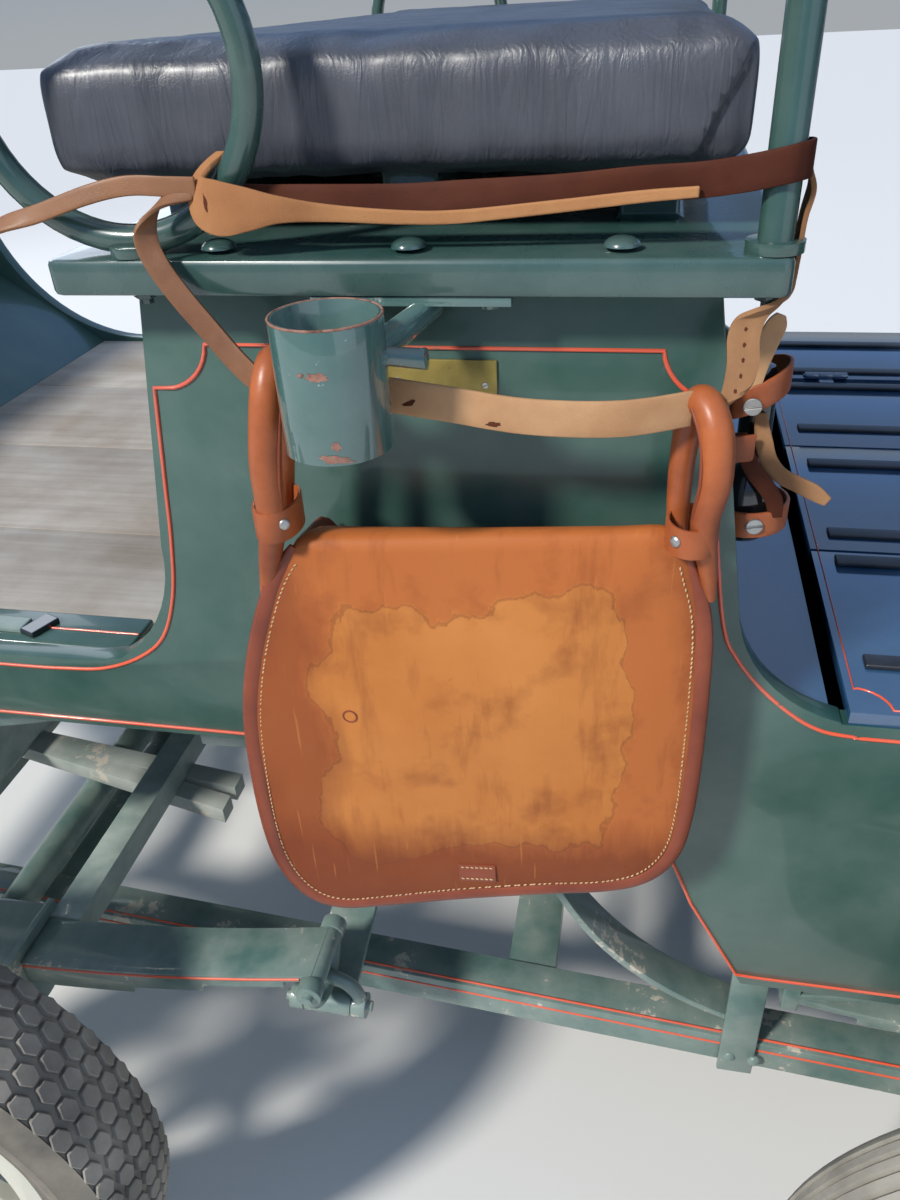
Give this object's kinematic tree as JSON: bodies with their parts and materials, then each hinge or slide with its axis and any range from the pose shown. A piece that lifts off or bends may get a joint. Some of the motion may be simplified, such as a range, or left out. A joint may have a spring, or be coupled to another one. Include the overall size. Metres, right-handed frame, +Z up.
{
  "type": "four-wheeled horse-drawn wagonette",
  "caption": "Horse-drawn wagonette with benches over a boarded boot, a perch undercarriage, a turntable, a draught pole and a leather tool bag.",
  "frame": {"origin": "on the ground, below the middle of the whole length and width", "axes": "+X to the rear, so the carriage is drawn towards -X; +Y its right-hand side; +Z up"},
  "size_m": [5.062, 1.636, 1.7199],
  "materials": {
    "green_paint": "gloss coach paint, dark green",
    "gear_wood_paint": "gloss paint on ash, chipped",
    "greased_iron": "painted iron with grease",
    "worn_boards": "bare worn boards",
    "black_vinyl": "black seat leather, wrinkled",
    "tyre": "dusty tread",
    "wheel_paint": "cream paint",
    "bag_leather": "oiled cognac leather",
    "strap_leather": "worn strap leather",
    "brass": "blank plate",
    "rubber_strip": "black ribbed strip",
    "black_plastic": "glossy black"
  },
  "bodies": {
    "carriage": {"boot_shell": "green_paint", "cup_holder": "green_paint", "dash": "green_paint", "deck_boards": "green_paint", "deck_strips": "rubber_strip", "driver_back_pad": "black_vinyl", "driver_box_walls": "green_paint", "driver_cushion": "black_vinyl", "driver_plank": "green_paint", "driver_seat_rails": "green_paint", "front_floor": "worn_boards", "front_sills": "green_paint", "holder_bottle": "black_plastic", "leather_straps": "strap_leather", "maker_plate": "brass", "perch_irons": "green_paint", "perches": "gear_wood_paint", "rear_axle": "green_paint", "rear_back_pad": "black_vinyl", "rear_box_front": "green_paint", "rear_cushion": "black_vinyl", "rear_plank": "green_paint", "rear_seat_rails": "green_paint", "rear_springs": "green_paint", "side_panel_left": "green_paint", "side_panel_right": "green_paint", "tool_bag": "bag_leather", "upper_ring": "greased_iron"},
    "front_gear": {"front_axle": "green_paint", "front_side_springs": "green_paint", "front_cross_springs": "green_paint", "front_shackles": "green_paint", "gear_frame": "green_paint", "draught_frame": "green_paint"},
    "pole": {"pole": "gear_wood_paint"},
    "swingletree_left": {"swingletree_left": "gear_wood_paint"},
    "swingletree_right": {"swingletree_right": "gear_wood_paint"},
    "boot_lid": {"deck_lid": "green_paint", "deck_lid_strips": "rubber_strip"},
    "wheel_front_left": {"tyre_front_left": "tyre", "wheel_front_left": "wheel_paint"},
    "wheel_front_right": {"tyre_front_right": "tyre", "wheel_front_right": "wheel_paint"},
    "wheel_rear_left": {"tyre_rear_left": "tyre", "wheel_rear_left": "wheel_paint"},
    "wheel_rear_right": {"tyre_rear_right": "tyre", "wheel_rear_right": "wheel_paint"}
  },
  "joints": [
    {"name": "steering", "type": "hinge", "parent": "carriage", "child": "front_gear", "pos_m": [0.4, 0, 0.5], "axis": [0, 0, 1], "range_deg": [-24, 24]},
    {"name": "pole_lift", "type": "hinge", "parent": "front_gear", "child": "pole", "pos_m": [-0.245, 0, 0.34], "axis": [0, 1, 0], "range_deg": [0, 25]},
    {"name": "swingletree_left_swing", "type": "hinge", "parent": "front_gear", "child": "swingletree_left", "pos_m": [-0.245, -0.33, 0.462], "axis": [0, 0, 1], "range_deg": [-25, 25]},
    {"name": "swingletree_right_swing", "type": "hinge", "parent": "front_gear", "child": "swingletree_right", "pos_m": [-0.245, 0.33, 0.462], "axis": [0, 0, 1], "range_deg": [-25, 25]},
    {"name": "boot_lid_hinge", "type": "hinge", "parent": "carriage", "child": "boot_lid", "pos_m": [1.685, 0.284, 0.8525], "axis": [-1, 0, 0], "range_deg": [0, 95]},
    {"name": "front_left_spin", "type": "hinge", "parent": "front_gear", "child": "wheel_front_left", "pos_m": [0.4, -0.746, 0.345], "axis": [0, 1, 0], "continuous": true},
    {"name": "front_right_spin", "type": "hinge", "parent": "front_gear", "child": "wheel_front_right", "pos_m": [0.4, 0.746, 0.345], "axis": [0, 1, 0], "continuous": true},
    {"name": "rear_left_spin", "type": "hinge", "parent": "carriage", "child": "wheel_rear_left", "pos_m": [1.695, -0.746, 0.345], "axis": [0, 1, 0], "continuous": true},
    {"name": "rear_right_spin", "type": "hinge", "parent": "carriage", "child": "wheel_rear_right", "pos_m": [1.695, 0.746, 0.345], "axis": [0, 1, 0], "continuous": true}
  ]
}
